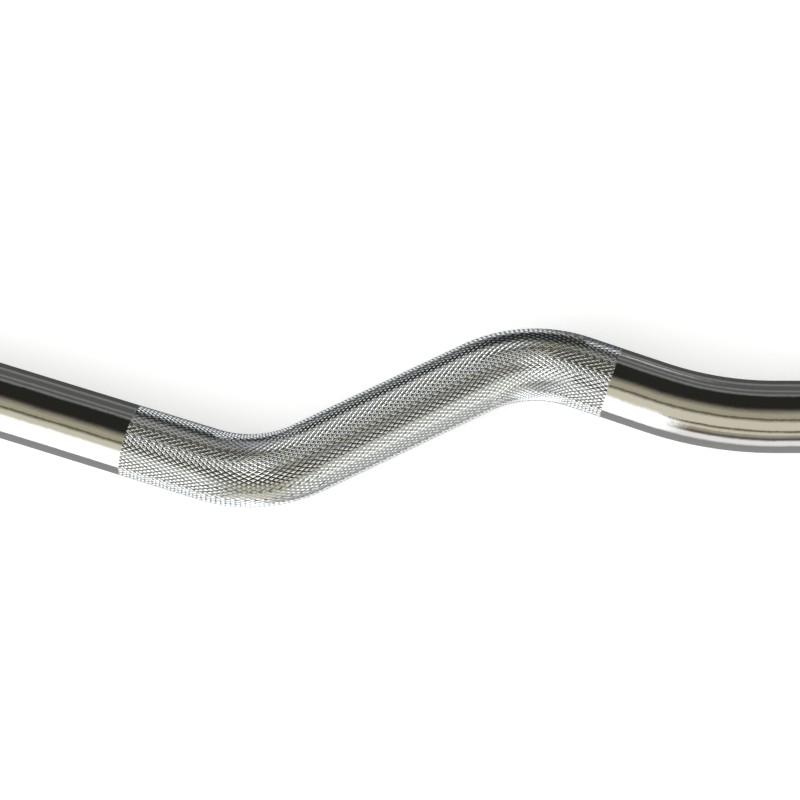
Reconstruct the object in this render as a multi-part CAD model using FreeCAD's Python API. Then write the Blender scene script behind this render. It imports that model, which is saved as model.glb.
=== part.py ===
import FreeCAD, Part
import math
import os

# Bent shaft: runs between the corners of its centre line, from the middle of the bar outwards
shaft_diameter = 28.0
centre_run = 80.0
inner_run = 142.0
grip_run = 115.0
outer_run = 76.5
straight_run = 54.6

# Bent shaft: angle of each run to the sleeves' axis, in degrees, and centre-line bend radii
inner_angle = 18.0
grip_angle = 27.0
outer_angle = 20.0
grip_bend_radius = 50.0
easy_bend_radius = 135.0

# Knurled grip: how far it reaches beyond the corners at its two bends
knurl_inner_reach = 52.8
knurl_outer_reach = 35.2

# Shaft ends that turn in the sleeves
journal_diameter = 25.0
shoulder_chamfer = 0.8
journal_chamfer = 1.2
shoulder_setback = 2.0
journal_end_gap = 3.0
ring_land = 3.5

# Stop collar
hub_diameter = 52.0
hub_length = 12.0
flange_diameter = 65.0
flange_width = 14.0
mouth_wall = 4.0
mouth_clearance = 0.5
hub_round = 2.0
flange_round = 1.5
collar_fillet = 2.0

# Sleeve tube
sleeve_diameter = 50.0
sleeve_wall = 6.0
loading_length = 170.0
spigot_step = 2.0
register_depth = 1.0
relief_width = 1.5
relief_depth = 0.4
sleeve_chamfer = 2.0
mouth_chamfer = 0.6

# Bronze bushings and thrust washers
bushing_length = 30.0
bushing_chamfer = 0.8
bearing_clearance = 0.05
oil_groove_width = 3.0
oil_groove_depth = 0.8
washer_thickness = 2.0
washer_bore_play = 0.1
washer_rim_gap = 0.5
end_float = 0.2

# Dust seal
seal_width = 4.0
seal_height = 5.0
seal_lip_reach = 1.5
seal_lip_height = 1.6
seal_clearance = 0.08

# Shaft snap ring
shaft_ring_thickness = 1.2
shaft_ring_depth = 0.55
shaft_ring_back = 3.0
shaft_ring_tip = 1.8
shaft_ring_lug = 4.4
shaft_ring_hole = 2.0
shaft_ring_gap = 3.0

# End cap and its snap ring
cap_recess = 8.0
cap_seat_step = 2.0
cap_thickness = 4.0
cap_clearance = 0.1
cap_rim = 6.0
cap_dish_depth = 1.0
cap_chamfer = 0.5
cap_ring_thickness = 1.75
cap_ring_depth = 1.25
cap_ring_back = 4.1
cap_ring_tip = 2.4
cap_ring_lug = 5.9
cap_ring_hole = 2.5
cap_ring_gap = 9.0
groove_slack = 0.1

# Radii and stations along the sleeve's axis that follow from the sizes above
shaft_radius = shaft_diameter / 2
journal_radius = journal_diameter / 2
sleeve_radius = sleeve_diameter / 2
bore_radius = sleeve_radius - sleeve_wall
spigot_radius = sleeve_radius - spigot_step
flange_radius = flange_diameter / 2
seal_seat_radius = shaft_radius + seal_height
cap_seat_radius = bore_radius + cap_seat_step

along = FreeCAD.Vector(1, 0, 0)
upward = FreeCAD.Vector(0, 0, 1)
axis_height = flange_radius


def flat(x, y):
    return FreeCAD.Vector(x, y, 0)


def heading(degrees):
    return flat(math.cos(math.radians(degrees)), math.sin(math.radians(degrees)))


# Corners of the centre line on the right half; the outer one lies on the sleeves' axis
inner_corner_x = centre_run / 2
valley_x = inner_corner_x + (heading(-inner_angle) * inner_run).x
peak_x = valley_x + (heading(grip_angle) * grip_run).x
outer_corner_x = peak_x + (heading(-outer_angle) * outer_run).x
outer_corner = flat(outer_corner_x, 0)
peak_corner = outer_corner - heading(-outer_angle) * outer_run
valley_corner = peak_corner - heading(grip_angle) * grip_run
inner_corner = valley_corner - heading(-inner_angle) * inner_run
knurl_start = valley_corner - heading(-inner_angle) * knurl_inner_reach
knurl_end = peak_corner + heading(-outer_angle) * knurl_outer_reach

collar_face = outer_corner_x + straight_run
flange_start = collar_face + hub_length
plate_face = flange_start + flange_width
sleeve_end = plate_face + loading_length
seal_floor = collar_face + seal_width
tube_start = seal_floor + mouth_wall
register_face = plate_face - register_depth
shoulder = tube_start + shoulder_setback
inner_bushing_start = shoulder + washer_thickness + end_float
cap_seat = sleeve_end - cap_recess
cap_face = cap_seat + cap_thickness
journal_end = cap_seat - journal_end_gap
shaft_ring_face = journal_end - ring_land - shaft_ring_thickness
outer_washer_start = shaft_ring_face - washer_thickness
outer_bushing_start = outer_washer_start - end_float - bushing_length


def rounded_line(points, radii):
    # Edges from the first point to the last, with a round of the given radius at each corner between
    edges = []
    reached = points[0]
    for before, corner, after, radius in zip(points, points[1:], points[2:], radii):
        if radius == 0:
            edges.append(Part.LineSegment(reached, corner).toShape())
            reached = corner
            continue
        back = (before - corner).normalize()
        ahead = (after - corner).normalize()
        half_angle = back.getAngle(ahead) / 2
        reach = radius / math.tan(half_angle)
        middle = corner + (back + ahead).normalize() * (radius / math.sin(half_angle) - radius)
        arc_start = corner + back * reach
        arc_end = corner + ahead * reach
        edges.append(Part.LineSegment(reached, arc_start).toShape())
        edges.append(Part.Arc(arc_start, middle, arc_end).toShape())
        reached = arc_end
    edges.append(Part.LineSegment(reached, points[-1]).toShape())
    return edges


def swept_bar(points, radii):
    # Round bar along a bent centre line
    path = Part.Wire(rounded_line(points, radii))
    circle = Part.Circle(points[0], points[1] - points[0], shaft_radius)
    return path.makePipeShell([Part.Wire(circle.toShape())], True, False)


def turned(outline):
    # Solid of revolution about the sleeves' axis; a corner with a third value is rounded to that radius
    points = [flat(*corner[:2]) for corner in outline]
    radii = [sum(corner[2:]) for corner in outline[1:]]
    wire = Part.Wire(rounded_line(points + points[:1], radii))
    return Part.Face(wire).revolve(FreeCAD.Vector(), along, 360)


def mirrored(shape):
    return shape.mirror(FreeCAD.Vector(), along)


def across(point):
    return flat(-point.x, point.y)


def journal_piece():
    # Straight end of the shaft from the collar outwards: shoulder, journal and snap ring groove
    groove_radius = journal_radius - shaft_ring_depth
    groove_start = shaft_ring_face - groove_slack
    groove_end = shaft_ring_face + shaft_ring_thickness
    return turned([
        (collar_face, 0),
        (collar_face, shaft_radius),
        (shoulder - shoulder_chamfer, shaft_radius),
        (shoulder, shaft_radius - shoulder_chamfer),
        (shoulder, journal_radius),
        (groove_start, journal_radius),
        (groove_start, groove_radius),
        (groove_end, groove_radius),
        (groove_end, journal_radius),
        (journal_end - journal_chamfer, journal_radius),
        (journal_end, journal_radius - journal_chamfer),
        (journal_end, 0),
    ])


def bent_shaft():
    # One bent bar; the knurled grips are runs of their own so that their ends show as edges
    centre = swept_bar([across(knurl_start), across(inner_corner), inner_corner, knurl_start],
                       [easy_bend_radius, easy_bend_radius])
    grip = swept_bar([knurl_start, valley_corner, peak_corner, knurl_end],
                     [grip_bend_radius, grip_bend_radius])
    outer = swept_bar([knurl_end, outer_corner, flat(collar_face, 0)], [easy_bend_radius])
    half = [grip, outer, journal_piece()]
    return centre.multiFuse(half + [mirrored(shape) for shape in half])


def sleeve_tube():
    groove_radius = cap_seat_radius + cap_ring_depth
    groove_end = cap_face + cap_ring_thickness + groove_slack
    return turned([
        (tube_start, bore_radius),
        (tube_start, spigot_radius),
        (register_face, spigot_radius),
        (register_face, sleeve_radius),
        (plate_face, sleeve_radius),
        (plate_face, sleeve_radius - relief_depth),
        (plate_face + relief_width, sleeve_radius - relief_depth),
        (plate_face + relief_width, sleeve_radius),
        (sleeve_end - sleeve_chamfer, sleeve_radius),
        (sleeve_end, sleeve_radius - sleeve_chamfer),
        (sleeve_end, cap_seat_radius + mouth_chamfer),
        (sleeve_end - mouth_chamfer, cap_seat_radius),
        (groove_end, cap_seat_radius),
        (groove_end, groove_radius),
        (cap_face, groove_radius),
        (cap_face, cap_seat_radius),
        (cap_seat, cap_seat_radius),
        (cap_seat, bore_radius),
    ])


def stop_collar():
    hub_radius = hub_diameter / 2
    mouth_radius = shaft_radius + mouth_clearance
    return turned([
        (collar_face, seal_seat_radius),
        (collar_face, hub_radius, hub_round),
        (flange_start, hub_radius, collar_fillet),
        (flange_start, flange_radius, flange_round),
        (plate_face, flange_radius, flange_round),
        (plate_face, sleeve_radius),
        (register_face, sleeve_radius),
        (register_face, spigot_radius),
        (tube_start, spigot_radius),
        (tube_start, mouth_radius),
        (seal_floor, mouth_radius),
        (seal_floor, seal_seat_radius),
    ])


def dust_seal():
    inside = shaft_radius + seal_clearance
    lip_face = collar_face - seal_lip_reach
    return turned([
        (seal_floor, inside),
        (lip_face, inside),
        (lip_face, inside + seal_lip_height),
        (collar_face, seal_seat_radius),
        (seal_floor, seal_seat_radius),
    ])


def bushing(start):
    inside = journal_radius + bearing_clearance
    end = start + bushing_length
    middle = (start + end) / 2
    half_groove = oil_groove_width / 2
    return turned([
        (start, inside + bushing_chamfer),
        (start, bore_radius),
        (end, bore_radius),
        (end, inside + bushing_chamfer),
        (end - bushing_chamfer, inside),
        (middle + half_groove, inside),
        (middle + half_groove, inside + oil_groove_depth),
        (middle - half_groove, inside + oil_groove_depth),
        (middle - half_groove, inside),
        (start + bushing_chamfer, inside),
    ])


def thrust_washer(start):
    inside = journal_radius + washer_bore_play
    outside = bore_radius - washer_rim_gap
    end = start + washer_thickness
    return turned([(start, inside), (start, outside), (end, outside), (end, inside)])


def end_cap():
    outside = cap_seat_radius - cap_clearance
    dish_radius = outside - cap_rim
    return turned([
        (cap_seat, 0),
        (cap_seat, outside),
        (cap_face - cap_chamfer, outside),
        (cap_face, outside - cap_chamfer),
        (cap_face, dish_radius),
        (cap_face - cap_dish_depth, dish_radius - cap_dish_depth),
        (cap_face - cap_dish_depth, 0),
    ])


def snap_ring(face, seat, side, thickness, back, tip, lug, hole, gap):
    # Open ring on a seat of the given radius, outside it with side 1 and inside it with side -1.
    # The ring narrows from its back to its tips, which end in lugs with a hole each.
    def rod(radius, y, z):
        return Part.makeCylinder(radius, thickness, FreeCAD.Vector(face, y, z), along)

    free_radius = seat + side * (back + tip) / 2
    free_edge = rod(free_radius, 0, side * (back - tip) / 2)
    seat_edge = rod(seat, 0, 0)
    ring = free_edge.cut(seat_edge) if side > 0 else seat_edge.cut(free_edge)
    slot_corner = FreeCAD.Vector(face, -gap / 2, -seat - back - lug)
    ring = ring.cut(Part.makeBox(thickness, gap, seat + back + lug, slot_corner))
    lug_radius = lug / 2
    lug_circle = seat + side * lug_radius
    lug_y = gap / 2 + lug_radius
    lug_z = -math.sqrt(lug_circle ** 2 - lug_y ** 2)
    ring = ring.multiFuse([rod(lug_radius, lug_y, lug_z), rod(lug_radius, -lug_y, lug_z)])
    holes = [rod(hole / 2, lug_y, lug_z), rod(hole / 2, -lug_y, lug_z)]
    return ring.cut(holes).removeSplitter()


def shaft_snap_ring():
    return snap_ring(shaft_ring_face, journal_radius - shaft_ring_depth, 1, shaft_ring_thickness,
                     shaft_ring_back, shaft_ring_tip, shaft_ring_lug, shaft_ring_hole, shaft_ring_gap)


def cap_snap_ring():
    return snap_ring(cap_face, cap_seat_radius + cap_ring_depth, -1, cap_ring_thickness,
                     cap_ring_back, cap_ring_tip, cap_ring_lug, cap_ring_hole, cap_ring_gap)


def save(name, shape):
    raised = shape.translated(upward * axis_height)
    raised.exportStep("parts/" + name + ".step")


os.makedirs("parts", exist_ok=True)
save("bent_shaft", bent_shaft())
one_side = {
    "sleeve_tube": sleeve_tube(),
    "stop_collar": stop_collar(),
    "dust_seal": dust_seal(),
    "inner_bushing": bushing(inner_bushing_start),
    "outer_bushing": bushing(outer_bushing_start),
    "inner_thrust_washer": thrust_washer(shoulder),
    "outer_thrust_washer": thrust_washer(outer_washer_start),
    "shaft_snap_ring": shaft_snap_ring(),
    "end_cap": end_cap(),
    "cap_snap_ring": cap_snap_ring(),
}
for name, shape in one_side.items():
    save("right_" + name, shape)
    save("left_" + name, mirrored(shape))
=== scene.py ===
import bpy
import math
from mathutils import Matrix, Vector


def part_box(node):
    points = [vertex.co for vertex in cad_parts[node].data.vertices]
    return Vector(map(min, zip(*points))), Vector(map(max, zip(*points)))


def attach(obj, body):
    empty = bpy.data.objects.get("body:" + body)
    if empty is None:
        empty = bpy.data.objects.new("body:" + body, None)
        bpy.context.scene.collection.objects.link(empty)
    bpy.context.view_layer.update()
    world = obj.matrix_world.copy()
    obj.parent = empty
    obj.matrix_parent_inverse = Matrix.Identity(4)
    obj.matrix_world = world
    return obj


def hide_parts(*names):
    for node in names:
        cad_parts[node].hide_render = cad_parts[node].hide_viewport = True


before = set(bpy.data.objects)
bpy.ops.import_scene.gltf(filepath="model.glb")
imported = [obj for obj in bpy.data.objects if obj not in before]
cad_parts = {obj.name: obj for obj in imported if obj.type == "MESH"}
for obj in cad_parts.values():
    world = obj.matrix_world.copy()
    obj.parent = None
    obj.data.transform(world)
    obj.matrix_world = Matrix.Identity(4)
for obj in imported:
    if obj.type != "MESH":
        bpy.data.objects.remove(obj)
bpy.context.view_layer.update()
sleeveAxis = sum(corner.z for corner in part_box("bent_shaft")) / 2  # height of the line both sleeves turn on
print("frame loaded, sleeve axis at", round(sleeveAxis, 4))

# how near counts as the same place, in metres
near = {"merge": 1e-6, "weld": 2e-6, "middle": 1e-5, "loop": 2e-5}


# handling pieces

def clearHands():  # object mode with nothing selected
    if bpy.context.object and bpy.context.object.mode != "OBJECT":
        bpy.ops.object.mode_set(mode="OBJECT")
    bpy.ops.object.select_all(action="DESELECT")


def takeUp(piece):
    clearHands()
    piece.select_set(True)
    bpy.context.view_layer.objects.active = piece


def editAll(kind="VERT"):
    bpy.ops.object.mode_set(mode="EDIT")
    bpy.ops.mesh.select_mode(type=kind)
    bpy.ops.mesh.select_all(action="SELECT")


def settle(piece):  # place and turn go into the mesh
    takeUp(piece)
    bpy.ops.object.transform_apply(location=True, rotation=True, scale=True)


def closeUp(piece, smoothAngle):  # merged, outward and smooth between sharp edges
    takeUp(piece)
    editAll()
    bpy.ops.mesh.remove_doubles(threshold=near["merge"])
    bpy.ops.mesh.select_all(action="SELECT")
    bpy.ops.mesh.normals_make_consistent(inside=False)
    bpy.ops.object.mode_set(mode="OBJECT")
    bpy.ops.object.shade_smooth_by_angle(angle=math.radians(smoothAngle))


def applyModifier(piece, kind, **settings):
    takeUp(piece)
    modifier = piece.modifiers.new(kind.title(), kind)
    for setting, value in settings.items():
        setattr(modifier, setting, value)
    bpy.ops.object.modifier_apply(modifier=modifier.name)


def otherSide(piece, name):  # mirror copy with its own mesh
    takeUp(piece)
    bpy.ops.object.duplicate()
    copy = bpy.context.object
    copy.name = name
    copy.data.name = name
    copy.scale = (-1, 1, 1)
    settle(copy)
    editAll()
    bpy.ops.mesh.normals_make_consistent(inside=False)
    bpy.ops.object.mode_set(mode="OBJECT")
    return copy


def hand(piece, body, slot, finish, *nodes):  # hangs a piece on its body with its finish
    piece.data.materials.clear()
    piece.data.materials.append(finish)
    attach(piece, body)
    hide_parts(*nodes)


def startDisc(name, place, radius, sides, angle=0, fill="NGON"):  # disc or ring across the bar, in edit mode
    clearHands()
    bpy.ops.mesh.primitive_circle_add(vertices=sides, radius=radius, fill_type=fill, location=place,
                                      rotation=(0, math.pi / 2, math.radians(angle)))
    piece = bpy.context.object
    piece.name = name
    piece.data.name = name
    settle(piece)
    editAll("FACE" if fill == "NGON" else "VERT")
    return piece


def turnAlong(start, outline):  # pushes the selected disc or ring through (x, radius) steps
    x, radius = start
    for nextX, nextRadius in outline:
        bpy.ops.mesh.extrude_region_move(TRANSFORM_OT_translate={"value": (nextX - x, 0, 0)})
        grow = nextRadius / radius
        bpy.ops.transform.resize(value=(1, grow, grow), center_override=(nextX, 0, sleeveAxis))
        x, radius = nextX, nextRadius


def roundOff(piece, loops, size, segments):  # rounds the edge loops at these (x, radius) places
    takeUp(piece)
    bpy.ops.object.mode_set(mode="EDIT")
    bpy.ops.mesh.select_mode(type="EDGE")
    bpy.ops.mesh.select_all(action="DESELECT")
    bpy.ops.object.mode_set(mode="OBJECT")
    points = [(v.co.x, math.hypot(v.co.y, v.co.z - sleeveAxis)) for v in piece.data.vertices]
    for edge in piece.data.edges:
        ends = [points[end] for end in edge.vertices]
        edge.select = any(all(math.dist(end, loop) < near["loop"] for end in ends) for loop in loops)
    bpy.ops.object.mode_set(mode="EDIT")
    bpy.ops.mesh.bevel(offset=size, offset_type="OFFSET", segments=segments, profile=0.5, affect="EDGES")
    bpy.ops.object.mode_set(mode="OBJECT")


# building finishes from nodes

def newFinish(name, metal=0):
    finish = bpy.data.materials.new(name)
    finish.use_nodes = True
    tree = finish.node_tree
    shader = tree.nodes["Principled BSDF"]
    shader.inputs["Metallic"].default_value = metal
    return finish, tree, shader


def addNode(tree, kind, **settings):
    node = tree.nodes.new(kind)
    for setting, value in settings.items():
        setattr(node, setting, value)
    return node


def setInputs(node, **values):
    for socket, value in values.items():
        node.inputs[socket].default_value = value


def place(tree, scale=(1, 1, 1), shift=(0, 0, 0)):  # object coordinates, stretched and moved
    coordinates = addNode(tree, "ShaderNodeTexCoord")
    mapping = addNode(tree, "ShaderNodeMapping")
    setInputs(mapping, Scale=scale, Location=shift)
    tree.links.new(coordinates.outputs["Object"], mapping.inputs["Vector"])
    return mapping.outputs["Vector"]


def cloud(tree, vector, scale, detail, roughness=0.5):
    noise = addNode(tree, "ShaderNodeTexNoise")
    setInputs(noise, Scale=scale, Detail=detail, Roughness=roughness)
    tree.links.new(vector, noise.inputs["Vector"])
    return noise.outputs["Fac"]


def spread(tree, value, low, high, start=0.3, end=0.7):  # turns a pattern into values between low and high
    node = addNode(tree, "ShaderNodeMapRange", interpolation_type="SMOOTHSTEP")
    for socket, number in zip(("From Min", "From Max", "To Min", "To Max"), (start, end, low, high)):
        node.inputs[socket].default_value = number
    tree.links.new(value, node.inputs["Value"])
    return node.outputs["Result"]


def fadeIn(tree, value, start, end):
    return spread(tree, value, 0, 1, start, end)


def fadeOut(tree, value, start, end):
    return spread(tree, value, 1, 0, start, end)


def mathNode(tree, operation, first, second=0.0):
    node = addNode(tree, "ShaderNodeMath", operation=operation)
    for socket, value in zip(node.inputs, (first, second)):
        if isinstance(value, (int, float)):
            socket.default_value = value
        else:
            tree.links.new(value, socket)
    return node.outputs["Value"]


def colourBy(tree, shader, pattern, look):  # blends the look's two colours by a pattern
    ramp = addNode(tree, "ShaderNodeValToRGB")
    for element, colour in zip(ramp.color_ramp.elements, look["colours"]):
        element.color = (*colour, 1)
    tree.links.new(fadeIn(tree, pattern, *look["blend"]), ramp.inputs["Fac"])
    tree.links.new(ramp.outputs["Color"], shader.inputs["Base Color"])


def roughenBy(tree, shader, pattern, roughness):
    tree.links.new(spread(tree, pattern, *roughness), shader.inputs["Roughness"])


def addRelief(tree, shader, heights):  # stacks bump maps given as (pattern, strength, depth in metres)
    normal = None
    for pattern, strength, depth in heights:
        bump = addNode(tree, "ShaderNodeBump")
        setInputs(bump, Strength=strength, Distance=depth)
        tree.links.new(pattern, bump.inputs["Height"])
        if normal:
            tree.links.new(normal, bump.inputs["Normal"])
        normal = bump.outputs["Normal"]
    tree.links.new(normal, shader.inputs["Normal"])


# in the finishes below a pattern is (scale, detail, roughness), the last may be left out,
# and a relief is (strength, depth in metres)
chrome = {
    "colours": ((0.76, 0.755, 0.74), (0.80, 0.80, 0.79)), "blend": (0.3, 0.7),
    "roughness": 0.03, "scuffing": 0.08, "shaftWear": 0.4, "sleeveWear": 1.0,
    "smudges": (26, 5, 0.6), "ripples": (42, 1), "peel": (380, 2), "hairlines": (1, 3),
    "hairlineStretch": (60, 900, 900),
    "rippleRelief": (0.35, 0.0010), "peelRelief": (0.6, 0.00005), "hairlineRelief": (0.03, 0.0002),
}


def polishedChrome(name, wear):  # wear is how strongly hands and plates have scuffed it
    finish, tree, shader = newFinish(name, 1)
    smudges = cloud(tree, place(tree), *chrome["smudges"])
    hairlines = cloud(tree, place(tree, chrome["hairlineStretch"]), *chrome["hairlines"])
    ripples = cloud(tree, place(tree), *chrome["ripples"])
    peel = cloud(tree, place(tree), *chrome["peel"])
    colourBy(tree, shader, smudges, chrome)
    roughenBy(tree, shader, smudges, (chrome["roughness"], chrome["roughness"] + chrome["scuffing"] * wear))
    strength, depth = chrome["hairlineRelief"]
    addRelief(tree, shader, ((ripples, *chrome["rippleRelief"]), (peel, *chrome["peelRelief"]),
                             (hairlines, strength * wear, depth)))
    return finish


# bright tooth tips over valleys darkened with painted shade
toothChromeGrooveShade = {
    "colours": ((0.34, 0.342, 0.348), (0.95, 0.977, 1.0)), "blend": (0.0, 0.34), "roughness": (0.03, 0.06),
    "grime": (90, 4), "grimeRelief": (0.10, 0.0002),
}


def knurledChrome():
    finish, tree, shader = newFinish("knurledChrome", 1)
    tooth = addNode(tree, "ShaderNodeAttribute", attribute_name="toothHeight")
    grime = cloud(tree, place(tree), *toothChromeGrooveShade["grime"])
    # base colour runs from painted groove shade at the valley floor to bright chrome at the tooth tips
    colourBy(tree, shader, tooth.outputs["Fac"], toothChromeGrooveShade)
    roughenBy(tree, shader, grime, toothChromeGrooveShade["roughness"])
    addRelief(tree, shader, ((grime, *toothChromeGrooveShade["grimeRelief"]),))
    return finish


# oiled bronze with fine tool marks
bushingBronze = {
    "colours": ((0.36, 0.21, 0.08), (0.62, 0.42, 0.19)), "blend": (0.3, 0.7), "roughness": (0.22, 0.40),
    "stain": (120, 5), "markScale": 900, "markWander": 0.4, "markRelief": (0.2, 0.00003),
}


def bearingBronze():
    finish, tree, shader = newFinish("bearingBronze", 1)
    stain = cloud(tree, place(tree), *bushingBronze["stain"])
    toolMarks = addNode(tree, "ShaderNodeTexWave", wave_type="BANDS", bands_direction="X")
    setInputs(toolMarks, Scale=bushingBronze["markScale"], Distortion=bushingBronze["markWander"])
    tree.links.new(place(tree), toolMarks.inputs["Vector"])
    colourBy(tree, shader, stain, bushingBronze)
    roughenBy(tree, shader, stain, bushingBronze["roughness"])
    addRelief(tree, shader, ((toolMarks.outputs["Fac"], *bushingBronze["markRelief"]),))
    return finish


# dark phosphate with a fine crystal grain
phosphate = {
    "metal": 0.8, "colours": ((0.045, 0.046, 0.048), (0.14, 0.14, 0.14)), "blend": (0.4, 0.75),
    "roughness": (0.38, 0.58), "grain": (1500, 3), "rub": (160, 4), "grainRelief": (0.3, 0.00004),
}


def springSteel():
    finish, tree, shader = newFinish("springSteel", phosphate["metal"])
    grain = cloud(tree, place(tree), *phosphate["grain"])
    rub = cloud(tree, place(tree), *phosphate["rub"])
    colourBy(tree, shader, rub, phosphate)
    roughenBy(tree, shader, grain, phosphate["roughness"])
    addRelief(tree, shader, ((grain, *phosphate["grainRelief"]),))
    return finish


# satin face with the rings that a lathe leaves
capFace = {
    "colours": ((0.44, 0.44, 0.435), (0.60, 0.60, 0.595)), "blend": (0.3, 0.7), "roughness": (0.22, 0.34),
    "haze": (90, 4), "ringScale": 520, "ringWander": 0.6, "ringDetail": 2, "ringRelief": (0.25, 0.00004),
}


def turnedSteel():
    finish, tree, shader = newFinish("turnedSteel", 1)
    rings = addNode(tree, "ShaderNodeTexWave", wave_type="RINGS", rings_direction="X")
    setInputs(rings, Scale=capFace["ringScale"], Distortion=capFace["ringWander"],
              Detail=capFace["ringDetail"])
    tree.links.new(place(tree, shift=(0, 0, -sleeveAxis)), rings.inputs["Vector"])
    haze = cloud(tree, place(tree), *capFace["haze"])
    colourBy(tree, shader, haze, capFace)
    roughenBy(tree, shader, haze, capFace["roughness"])
    addRelief(tree, shader, ((rings.outputs["Fac"], *capFace["ringRelief"]),))
    return finish


# matt black with a little dust
blackRubber = {
    "colours": ((0.014, 0.014, 0.014), (0.045, 0.044, 0.042)), "blend": (0.45, 0.8),
    "roughness": (0.48, 0.68), "grain": (2200, 4), "dust": (140, 5), "grainRelief": (0.25, 0.00005),
}


def sealRubber():
    finish, tree, shader = newFinish("sealRubber")
    grain = cloud(tree, place(tree), *blackRubber["grain"])
    dust = cloud(tree, place(tree), *blackRubber["dust"])
    colourBy(tree, shader, dust, blackRubber)
    roughenBy(tree, shader, dust, blackRubber["roughness"])
    addRelief(tree, shader, ((grain, *blackRubber["grainRelief"]),))
    return finish


shaftChrome = polishedChrome("shaftChrome", chrome["shaftWear"])
sleeveChrome = polishedChrome("sleeveChrome", chrome["sleeveWear"])
gripChrome = knurledChrome()
bronze = bearingBronze()
ringSteel = springSteel()
capSteel = turnedSteel()
rubber = sealRubber()
print("finishes ready")


# shaft: runs between corners, then bends and grip ends, in metres and degrees
shaft = {
    "radius": 0.014,
    "halfCentre": 0.040, "innerRun": 0.142, "gripRun": 0.115, "outerRun": 0.0765, "straightRun": 0.0546,
    "innerAngle": 18, "gripAngle": 27, "outerAngle": 20,
    "gripBend": 0.050, "easyBend": 0.135,
    "gripInward": 0.0528, "gripOutward": 0.0352,
    "shoulderFromCollar": 0.010, "shoulderChamfer": 0.0008,
    "journalRadius": 0.0125, "journalChamfer": 0.0012,
    "grooveRadius": 0.01195, "grooveSlack": 0.0001,
    "sides": 96, "degreesPerStep": 1.5, "smoothAngle": 35,
}


def heading(degrees):
    return Vector((math.cos(math.radians(degrees)), math.sin(math.radians(degrees)), 0))


def cornerReach(radius, turn):  # from a corner to where its bend starts
    return radius * math.tan(math.radians(abs(turn)) / 2)


valleyTurn = shaft["innerAngle"] + shaft["gripAngle"]
peakTurn = shaft["gripAngle"] + shaft["outerAngle"]
crownReach = cornerReach(shaft["easyBend"], shaft["innerAngle"])
valleyReach = cornerReach(shaft["gripBend"], valleyTurn)
peakReach = cornerReach(shaft["gripBend"], peakTurn)
outerReach = cornerReach(shaft["easyBend"], shaft["outerAngle"])

outerCorner = Vector((0, 0, sleeveAxis)) + Vector((1, 0, 0)) * (
    shaft["halfCentre"] + shaft["innerRun"] * heading(shaft["innerAngle"]).x
    + shaft["gripRun"] * heading(shaft["gripAngle"]).x + shaft["outerRun"] * heading(shaft["outerAngle"]).x)
peakCorner = outerCorner - heading(-shaft["outerAngle"]) * shaft["outerRun"]
valleyCorner = peakCorner - heading(shaft["gripAngle"]) * shaft["gripRun"]
crownCorner = valleyCorner - heading(-shaft["innerAngle"]) * shaft["innerRun"]
gripStart = valleyCorner - heading(-shaft["innerAngle"]) * shaft["gripInward"]
gripEnd = peakCorner + heading(-shaft["outerAngle"]) * shaft["gripOutward"]

# a stretch is a run (length, 0) or a bend (radius, turn in degrees, left positive)
middleStretches = [
    (shaft["halfCentre"] - crownReach, 0),
    (shaft["easyBend"], -shaft["innerAngle"]),
    (shaft["innerRun"] - crownReach - shaft["gripInward"], 0),
]
gripStretches = [
    (shaft["gripInward"] - valleyReach, 0),
    (shaft["gripBend"], valleyTurn),
    (shaft["gripRun"] - valleyReach - peakReach, 0),
    (shaft["gripBend"], -peakTurn),
    (shaft["gripOutward"] - peakReach, 0),
]
endStretches = [
    (shaft["outerRun"] - shaft["gripOutward"] - outerReach, 0),
    (shaft["easyBend"], shaft["outerAngle"]),
    (shaft["straightRun"] - outerReach, 0),
]


def layStretches(tip, angle, stretches):  # pushes the selected end face along runs and round bends
    for size, turn in stretches:
        if turn == 0:
            step = heading(angle) * size
            bpy.ops.mesh.extrude_region_move(TRANSFORM_OT_translate={"value": step})
            tip = tip + step
            continue
        side = math.copysign(1, turn)
        pivot = tip + heading(angle + 90 * side) * size
        steps = math.ceil(abs(turn) / shaft["degreesPerStep"])
        bpy.ops.mesh.spin(steps=steps, angle=math.radians(-turn), center=pivot, axis=(0, 0, 1))
        angle += turn
        tip = pivot - heading(angle + 90 * side) * size
    return tip


def makeMiddle():  # right half from the crown to the grip, then mirrored
    crown = Vector((0, crownCorner.y, sleeveAxis))
    bar = startDisc("shaftMiddle", crown, shaft["radius"], shaft["sides"])
    layStretches(crown, 0, middleStretches)
    bpy.ops.object.mode_set(mode="OBJECT")
    for face in bar.data.polygons:
        face.select = abs(face.center.x) < near["middle"]  # the first disc would stay inside
    bpy.ops.object.mode_set(mode="EDIT")
    bpy.ops.mesh.delete(type="ONLY_FACE")
    applyModifier(bar, "MIRROR", use_axis=(True, False, False), merge_threshold=near["middle"])
    closeUp(bar, shaft["smoothAngle"])
    return bar


def makeEnd():  # from the grip out through the sleeve, with shoulder, journal and ring groove
    bar = startDisc("rightShaftEnd", gripEnd, shaft["radius"], shaft["sides"], -shaft["outerAngle"])
    tip = layStretches(gripEnd, -shaft["outerAngle"], endStretches)
    shoulder = tip.x + shaft["shoulderFromCollar"]
    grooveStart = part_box("right_shaft_snap_ring")[0].x - shaft["grooveSlack"]
    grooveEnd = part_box("right_shaft_snap_ring")[1].x
    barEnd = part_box("bent_shaft")[1].x
    turnAlong((tip.x, shaft["radius"]), [
        (shoulder - shaft["shoulderChamfer"], shaft["radius"]),
        (shoulder, shaft["radius"] - shaft["shoulderChamfer"]),
        (shoulder, shaft["journalRadius"]),
        (grooveStart, shaft["journalRadius"]),
        (grooveStart, shaft["grooveRadius"]),
        (grooveEnd, shaft["grooveRadius"]),
        (grooveEnd, shaft["journalRadius"]),
        (barEnd - shaft["journalChamfer"], shaft["journalRadius"]),
        (barEnd, shaft["journalRadius"] - shaft["journalChamfer"]),
    ])
    closeUp(bar, shaft["smoothAngle"])
    return bar


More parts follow.
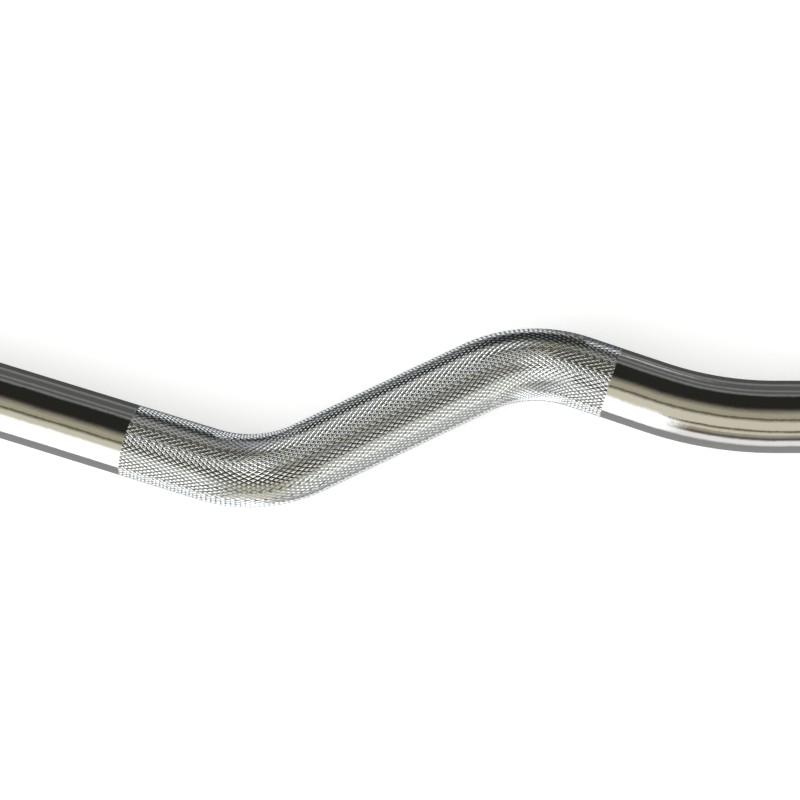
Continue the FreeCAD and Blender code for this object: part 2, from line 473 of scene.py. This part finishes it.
middle = makeMiddle()
rightEnd = makeEnd()
leftEnd = otherSide(rightEnd, "leftShaftEnd")
for piece in (middle, rightEnd, leftEnd):
    hand(piece, "shaft", "shaft_chrome", shaftChrome, "bent_shaft")
print("plain stretches of the shaft made")


# knurl: diamond teeth with low crowns, modelled flat once, repeated, then wrapped round the bar
knurl = {
    "along": 0.0030, "around": 52, "proud": 0.00005,
    "flank": 0.00040, "flankRise": 0.00027, "crown": 0.00020, "crownRise": 0.000043, "smoothAngle": 15,
}


def stretchLength(size, turn):
    return size if turn == 0 else size * math.radians(abs(turn))


def pathPoint(distance, tip, angle, stretches):  # place and heading on the bar's centre line
    for size, turn in stretches:
        length = stretchLength(size, turn)
        side = math.copysign(1, turn)
        if distance <= length or (size, turn) == stretches[-1]:
            if turn == 0:
                return tip + heading(angle) * distance, angle
            pivot = tip + heading(angle + 90 * side) * size
            angle += side * math.degrees(distance / size)
            return pivot - heading(angle + 90 * side) * size, angle
        if turn == 0:
            tip = tip + heading(angle) * length
        else:
            pivot = tip + heading(angle + 90 * side) * size
            angle += turn
            tip = pivot - heading(angle + 90 * side) * size
        distance -= length


def makeGrip():
    gripLength = sum(stretchLength(size, turn) for size, turn in gripStretches)
    pitch = 2 * math.pi * shaft["radius"] / knurl["around"]
    rows = math.ceil(gripLength / knurl["along"]) + 2  # two to spare, cut off below
    firstCut = knurl["along"] / 2

    # one tooth, laid flat
    clearHands()
    bpy.ops.mesh.primitive_plane_add(size=1 / math.sqrt(2), rotation=(0, 0, math.pi / 4))
    grip = bpy.context.object
    grip.name = "rightGrip"
    grip.data.name = "rightGrip"
    settle(grip)
    grip.scale = (knurl["along"], pitch, 1)
    settle(grip)
    editAll("FACE")
    bpy.ops.mesh.inset(thickness=knurl["flank"], depth=knurl["flankRise"])
    bpy.ops.mesh.inset(thickness=knurl["crown"], depth=knurl["crownRise"])
    bpy.ops.object.mode_set(mode="OBJECT")

    # a sheet of teeth, cut to the grip's length
    for count, offset in ((rows, (knurl["along"], 0, 0)), (2, (knurl["along"] / 2, pitch / 2, 0)),
                          (knurl["around"], (0, pitch, 0))):
        applyModifier(grip, "ARRAY", count=count, use_relative_offset=False, use_constant_offset=True,
                      constant_offset_displace=offset, use_merge_vertices=True, merge_threshold=near["merge"])
    for cut, outward in ((firstCut, -1), (firstCut + gripLength, 1)):
        takeUp(grip)
        editAll()
        bpy.ops.mesh.bisect(plane_co=(cut, 0, 0), plane_no=(outward, 0, 0), clear_outer=True)
        bpy.ops.object.mode_set(mode="OBJECT")

    # wrapped round the bent bar, with the height on each tooth kept for its finish, which paints shade into
    # the grooves
    grooveRadius = shaft["radius"] + knurl["proud"] - knurl["flankRise"] - knurl["crownRise"]
    height = grip.data.attributes.new("toothHeight", "FLOAT", "POINT")
    for vertex in grip.data.vertices:
        x, y, z = vertex.co
        height.data[vertex.index].value = z / knurl["flankRise"]
        spot, angle = pathPoint(max(0, x - firstCut), gripStart, -shaft["innerAngle"], gripStretches)
        turned = 2 * math.pi * y / (pitch * knurl["around"])
        reach = grooveRadius + z
        sideways = heading(angle + 90) * reach * math.cos(turned)
        vertex.co = spot + sideways + Vector((0, 0, reach * math.sin(turned)))

    # seam welded and both ends closed
    takeUp(grip)
    editAll()
    bpy.ops.mesh.remove_doubles(threshold=near["weld"])
    bpy.ops.mesh.select_all(action="DESELECT")
    bpy.ops.mesh.select_non_manifold(extend=False, use_wire=False, use_multi_face=False,
                                     use_non_contiguous=False, use_verts=False)
    bpy.ops.mesh.edge_face_add()
    bpy.ops.object.mode_set(mode="OBJECT")
    closeUp(grip, knurl["smoothAngle"])
    return grip


rightGrip = makeGrip()
leftGrip = otherSide(rightGrip, "leftGrip")
for piece in (rightGrip, leftGrip):
    hand(piece, "shaft", "shaft_chrome", gripChrome, "bent_shaft")
print("grips made,", len(rightGrip.data.polygons), "faces each")


turnedSmoothAngle = 30  # collars, tubes, caps and seals


def radiusOf(node):
    low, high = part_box(node)
    return (high.z - low.z) / 2


def turnPiece(name, sides, start, outline, fill="NOTHING"):
    piece = startDisc(name, (start[0], 0, sleeveAxis), start[1], sides, fill=fill)
    turnAlong(start, outline)
    closeUp(piece, turnedSmoothAngle)
    return piece


# stop collar, seal seat at its inner end and the tube's seat at its plate face
collar = {
    "hubRadius": 0.026, "hubLength": 0.012, "sealSeat": 0.019, "sealDepth": 0.004,
    "mouthRadius": 0.0145, "mouthWall": 0.004, "registerDepth": 0.001,
    "hubRound": 0.002, "flangeRound": 0.0015, "fillet": 0.002, "roundSteps": 6,
    "edge": 0.0003, "edgeSteps": 2, "sides": 128,
}

# sleeve tube, with a spigot in the collar and the end cap's seat and ring groove at the other end
tube = {
    "spigotRadius": 0.023, "boreRadius": 0.019, "reliefWidth": 0.0015, "reliefDepth": 0.0004,
    "chamfer": 0.002, "capSeat": 0.021, "mouthChamfer": 0.0006, "grooveRadius": 0.02225,
    "grooveSlack": 0.0001, "edge": 0.0004, "edgeSteps": 3, "sides": 128,
}


def makeCollar():
    face, plateFace = (corner.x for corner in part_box("right_stop_collar"))
    flange = radiusOf("right_stop_collar")
    sleeve = radiusOf("right_sleeve_tube")
    step = face + collar["hubLength"]
    sealFloor = face + collar["sealDepth"]
    tubeStart = sealFloor + collar["mouthWall"]
    register = plateFace - collar["registerDepth"]
    start = (face, collar["sealSeat"])
    piece = turnPiece("rightCollar", collar["sides"], start, [
        (face, collar["hubRadius"]), (step, collar["hubRadius"]), (step, flange), (plateFace, flange),
        (plateFace, sleeve), (register, sleeve),
        (register, tube["spigotRadius"]), (tubeStart, tube["spigotRadius"]),
        (tubeStart, collar["mouthRadius"]), (sealFloor, collar["mouthRadius"]),
        (sealFloor, collar["sealSeat"]), start,
    ])
    roundOff(piece, [(step, flange), (plateFace, flange)], collar["flangeRound"], collar["roundSteps"])
    roundOff(piece, [(face, collar["hubRadius"])], collar["hubRound"], collar["roundSteps"])
    roundOff(piece, [(step, collar["hubRadius"])], collar["fillet"], collar["roundSteps"])
    roundOff(piece, [start], collar["edge"], collar["edgeSteps"])
    closeUp(piece, turnedSmoothAngle)
    return piece


def makeTube():
    inside, end = (corner.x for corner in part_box("right_sleeve_tube"))
    sleeve = radiusOf("right_sleeve_tube")
    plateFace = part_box("right_stop_collar")[1].x
    register = plateFace - collar["registerDepth"]
    relief = sleeve - tube["reliefDepth"]
    reliefEnd = plateFace + tube["reliefWidth"]
    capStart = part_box("right_end_cap")[0].x
    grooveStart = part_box("right_end_cap")[1].x
    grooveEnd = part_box("right_cap_snap_ring")[1].x + tube["grooveSlack"]
    start = (inside, tube["boreRadius"])
    shoulders = [(reliefEnd, sleeve), (end - tube["chamfer"], sleeve), (end, sleeve - tube["chamfer"])]
    piece = turnPiece("rightSleeveTube", tube["sides"], start, [
        (inside, tube["spigotRadius"]), (register, tube["spigotRadius"]),
        (register, sleeve), (plateFace, sleeve),
        (plateFace, relief), (reliefEnd, relief), *shoulders,
        (end, tube["capSeat"] + tube["mouthChamfer"]), (end - tube["mouthChamfer"], tube["capSeat"]),
        (grooveEnd, tube["capSeat"]), (grooveEnd, tube["grooveRadius"]),
        (grooveStart, tube["grooveRadius"]), (grooveStart, tube["capSeat"]),
        (capStart, tube["capSeat"]), (capStart, tube["boreRadius"]), start,
    ])
    roundOff(piece, shoulders, tube["edge"], tube["edgeSteps"])
    closeUp(piece, turnedSmoothAngle)
    return piece


# end cap with a dished face
cap = {"rim": 0.006, "dish": 0.001, "chamfer": 0.0005, "edge": 0.0002, "edgeSteps": 2, "sides": 128}


def makeCap():
    inside, face = (corner.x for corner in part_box("right_end_cap"))
    radius = radiusOf("right_end_cap")
    dish = radius - cap["rim"]
    rimEdges = [(face - cap["chamfer"], radius), (face, radius - cap["chamfer"]), (face, dish)]
    piece = turnPiece("rightEndCap", cap["sides"], (inside, radius),
                      [*rimEdges, (face - cap["dish"], dish - cap["dish"])], "NGON")
    roundOff(piece, rimEdges, cap["edge"], cap["edgeSteps"])
    closeUp(piece, turnedSmoothAngle)
    return piece


# dust seal with its lip
seal = {"bore": 0.01408, "lipHeight": 0.0016, "lipReach": 0.0015, "edge": 0.0004, "edgeSteps": 3, "sides": 96}


def makeSeal():
    lip, floorEnd = (corner.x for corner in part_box("right_dust_seal"))
    radius = radiusOf("right_dust_seal")
    lipCorner = (lip, seal["bore"] + seal["lipHeight"])
    start = (floorEnd, seal["bore"])
    piece = turnPiece("rightDustSeal", seal["sides"], start, [
        (lip, seal["bore"]), lipCorner, (lip + seal["lipReach"], radius), (floorEnd, radius), start])
    roundOff(piece, [lipCorner, (lip + seal["lipReach"], radius)], seal["edge"], seal["edgeSteps"])
    closeUp(piece, turnedSmoothAngle)
    return piece


turnedPieces = (
    (makeTube(), "SleeveTube", "sleeve_tube", "sleeve_chrome", sleeveChrome),
    (makeCollar(), "Collar", "stop_collar", "sleeve_chrome", sleeveChrome),
    (makeCap(), "EndCap", "end_cap", "cap_steel", capSteel),
    (makeSeal(), "DustSeal", "dust_seal", "seal_rubber", rubber),
)
for piece, name, node, slot, finish in turnedPieces:
    hand(piece, "right_sleeve", slot, finish, "right_" + node)
    hand(otherSide(piece, "left" + name), "left_sleeve", slot, finish, "left_" + node)
print("sleeves made")

# pieces that show the CAD shape as it is
plainFinishes = {
    "inner_bushing": bronze, "outer_bushing": bronze,
    "inner_thrust_washer": bronze, "outer_thrust_washer": bronze,
    "shaft_snap_ring": ringSteel, "cap_snap_ring": ringSteel,
}
for node, finish in plainFinishes.items():
    for side in ("left_", "right_"):
        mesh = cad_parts[side + node].data
        mesh.materials.clear()
        mesh.materials.append(finish)
print("bearing pieces finished")


# camera at the photograph's viewing angle
view = {
    "target": (0.2284, 0.0070, sleeveAxis), "elevation": 68.8, "distance": 1.1603,
    "lens": 135, "sensor": 36, "farthest": 50,
}


def setCamera():
    lens = bpy.data.cameras.new("camera")
    camera = bpy.data.objects.new("camera", lens)
    bpy.context.scene.collection.objects.link(camera)
    rise = math.radians(view["elevation"])
    backward = Vector((0, -math.cos(rise), math.sin(rise)))
    camera.location = Vector(view["target"]) + backward * view["distance"]
    camera.rotation_euler = (math.pi / 2 - rise, 0, 0)
    lens.lens = view["lens"]
    lens.sensor_width = view["sensor"]
    lens.clip_end = view["farthest"]
    bpy.context.scene.camera = camera


# the floor, how far it is lifted to white near and far from the bar, and where that fades, in metres
stage = {"size": 8, "colour": (0.85, 0.85, 0.85), "roughness": 0.9, "lift": (0.52, 1.0), "fade": (0.8, 2.4)}
white = (1, 1, 1)


def setFloor():
    clearHands()
    bpy.ops.mesh.primitive_plane_add(size=stage["size"])
    floor = bpy.context.object
    floor.name = "floor"
    finish, tree, shader = newFinish("paleFloor")
    setInputs(shader, Roughness=stage["roughness"])
    setInputs(shader, **{"Base Color": (*stage["colour"], 1), "Emission Color": (*white, 1)})
    distance = addNode(tree, "ShaderNodeVectorMath", operation="LENGTH")
    tree.links.new(place(tree), distance.inputs["Vector"])
    lift = spread(tree, distance.outputs["Value"], *stage["lift"], *stage["fade"])
    seen = addNode(tree, "ShaderNodeLightPath").outputs["Is Camera Ray"]
    tree.links.new(mathNode(tree, "MULTIPLY", seen, lift), shader.inputs["Emission Strength"])
    floor.data.materials.append(finish)
    floor.visible_glossy = False  # the metal sees the studio's table bands instead


softbox = {"size": 1.6, "energy": 40, "place": (-0.9, -1.1, 1.9)}


def setLamp():
    light = bpy.data.lights.new("softbox", "AREA")
    light.size = softbox["size"]
    light.energy = softbox["energy"]
    lamp = bpy.data.objects.new("softbox", light)
    bpy.context.scene.collection.objects.link(lamp)
    lamp.location = softbox["place"]
    lamp.rotation_euler = (Vector(view["target"]) - lamp.location).to_track_quat("-Z", "Y").to_euler()
    lamp.visible_glossy = False


# the studio round the bar, as bands seen by the metal: from and to in degrees, then a colour.
# 0 is level in front of the bar, 90 overhead, 180 level behind it, and below 0 is the table in front
studio = {
    "bands": [
        (-112, -43, "tableShade"), (-33, -18, "whitePaper"), (-10, -5, "tableEdge"), (1, 6, "skirting"),
        (10, 15, "paleWall"), (21, 22, "seam"), (27, 50, "paleWall"), (59.5, 60.5, "seam"),
        (65, 76, "wall"), (92, 92, "wallTop"), (97, 134, "darkCeiling"), (142, 142, "lightStrip"),
        (147, 152, "darkWall"), (158, 158, "lightStrip"), (164, 180, "darkWall"), (191, 191, "lightStrip"),
        (200, 247, "backTable"),
    ],
    "leftBands": [
        (-112, -46, "tableShade"), (-34, 24, "brightWindow"), (36, 78, "darkWall"), (88, 112, "dimWall"),
        (124, 136, "darkCeiling"), (144, 184, "window"), (194, 247, "tableShade"),
    ],
    "rightBands": [
        (-112, -52, "dimWall"), (-44, -30, "window"), (-14, 70, "dimWall"), (82, 116, "brightWindow"),
        (128, 247, "darkCeiling"),
    ],
    "tableShade": (0.31, 0.31, 0.305), "whitePaper": (0.95, 0.95, 0.94), "tableEdge": (0.14, 0.12, 0.10),
    "skirting": (0.38, 0.35, 0.29), "paleWall": (0.70, 0.67, 0.54), "seam": (0.11, 0.10, 0.06),
    "wall": (0.42, 0.39, 0.29), "wallTop": (0.06, 0.053, 0.042), "darkCeiling": (0.022, 0.022, 0.019),
    "lightStrip": (0.25, 0.26, 0.255), "darkWall": (0.11, 0.112, 0.107), "backTable": (0.085, 0.085, 0.084),
    "endWall": (0.72, 0.71, 0.70), "sidePaper": (1.80, 1.83, 1.85), "dimWall": (0.40, 0.41, 0.42),
    "window": (1.02, 1.06, 1.08), "brightWindow": (1.50, 1.55, 1.58),
}

# where the studio's parts fade into each other: components of the direction, or degrees as above
edges = {
    "paperSide": (0.20, 0.40), "paperTop": (0.08, 0.34), "paperLean": 0.5, "paperFoot": (-42, -35),
    "windowSide": (-0.34, -0.16), "windowTop": (130, 148),
    "leftToRight": (-0.1, 0.1), "sideWalls": (0.48, 0.64), "endWalls": (0.88, 0.97),
}


def mixColours(tree, factor, first, second):
    mix = addNode(tree, "ShaderNodeMix", data_type="RGBA")
    tree.links.new(factor, mix.inputs["Factor"])
    tree.links.new(first, mix.inputs["A"])
    if isinstance(second, tuple):
        mix.inputs["B"].default_value = (*second, 1)
    else:
        tree.links.new(second, mix.inputs["B"])
    return mix.outputs["Result"]


def bandRamp(tree, angle, bands):  # colours by the angle round the bar
    lowest = bands[0][0]
    turn = mathNode(tree, "DIVIDE", mathNode(tree, "SUBTRACT", angle, math.radians(lowest)), 2 * math.pi)
    ramp = addNode(tree, "ShaderNodeValToRGB")
    tree.links.new(mathNode(tree, "FRACT", turn), ramp.inputs["Fac"])
    elements = ramp.color_ramp.elements
    elements.remove(elements[1])
    for start, stop, colour in bands:
        for degrees in sorted({start, stop}):
            stopMark = elements[0] if degrees == lowest else elements.new((degrees - lowest) / 360)
            stopMark.color = (*studio[colour], 1)
    return ramp.outputs["Color"]


def setWorld():
    world = bpy.data.worlds.new("studio")
    bpy.context.scene.world = world
    world.use_nodes = True
    tree = world.node_tree
    direction = addNode(tree, "ShaderNodeSeparateXYZ")
    tree.links.new(addNode(tree, "ShaderNodeTexCoord").outputs["Generated"], direction.inputs["Vector"])
    along, back, up = (direction.outputs[axis] for axis in "XYZ")
    angle = mathNode(tree, "ARCTAN2", up, mathNode(tree, "MULTIPLY", back, -1.0))
    sideways = mathNode(tree, "ABSOLUTE", along)

    # low sheets of paper at both sides, and a window behind and to the left
    lean = mathNode(tree, "ADD", up, mathNode(tree, "MULTIPLY", along, edges["paperLean"]))
    paper = mathNode(tree, "MULTIPLY", fadeIn(tree, sideways, *edges["paperSide"]),
                     fadeOut(tree, lean, *edges["paperTop"]))
    paper = mathNode(tree, "MULTIPLY", paper, fadeIn(tree, angle, *map(math.radians, edges["paperFoot"])))
    behind = mathNode(tree, "MULTIPLY", fadeOut(tree, along, *edges["windowSide"]),
                      fadeIn(tree, angle, *map(math.radians, edges["windowTop"])))
    colour = bandRamp(tree, angle, studio["bands"])
    colour = mixColours(tree, paper, colour, studio["sidePaper"])
    colour = mixColours(tree, behind, colour, studio["window"])

    # the walls to the left and right, and past the ends of the bar
    left = bandRamp(tree, angle, studio["leftBands"])
    right = bandRamp(tree, angle, studio["rightBands"])
    walls = mixColours(tree, fadeIn(tree, along, *edges["leftToRight"]), left, right)
    colour = mixColours(tree, fadeIn(tree, sideways, *edges["sideWalls"]), colour, walls)
    colour = mixColours(tree, fadeIn(tree, sideways, *edges["endWalls"]), colour, studio["endWall"])
    seen = addNode(tree, "ShaderNodeLightPath").outputs["Is Camera Ray"]
    tree.links.new(mixColours(tree, seen, colour, white), tree.nodes["Background"].inputs["Color"])


setCamera()
setFloor()
setLamp()
setWorld()
bpy.context.scene.view_settings.view_transform = "Standard"
print("stage set")
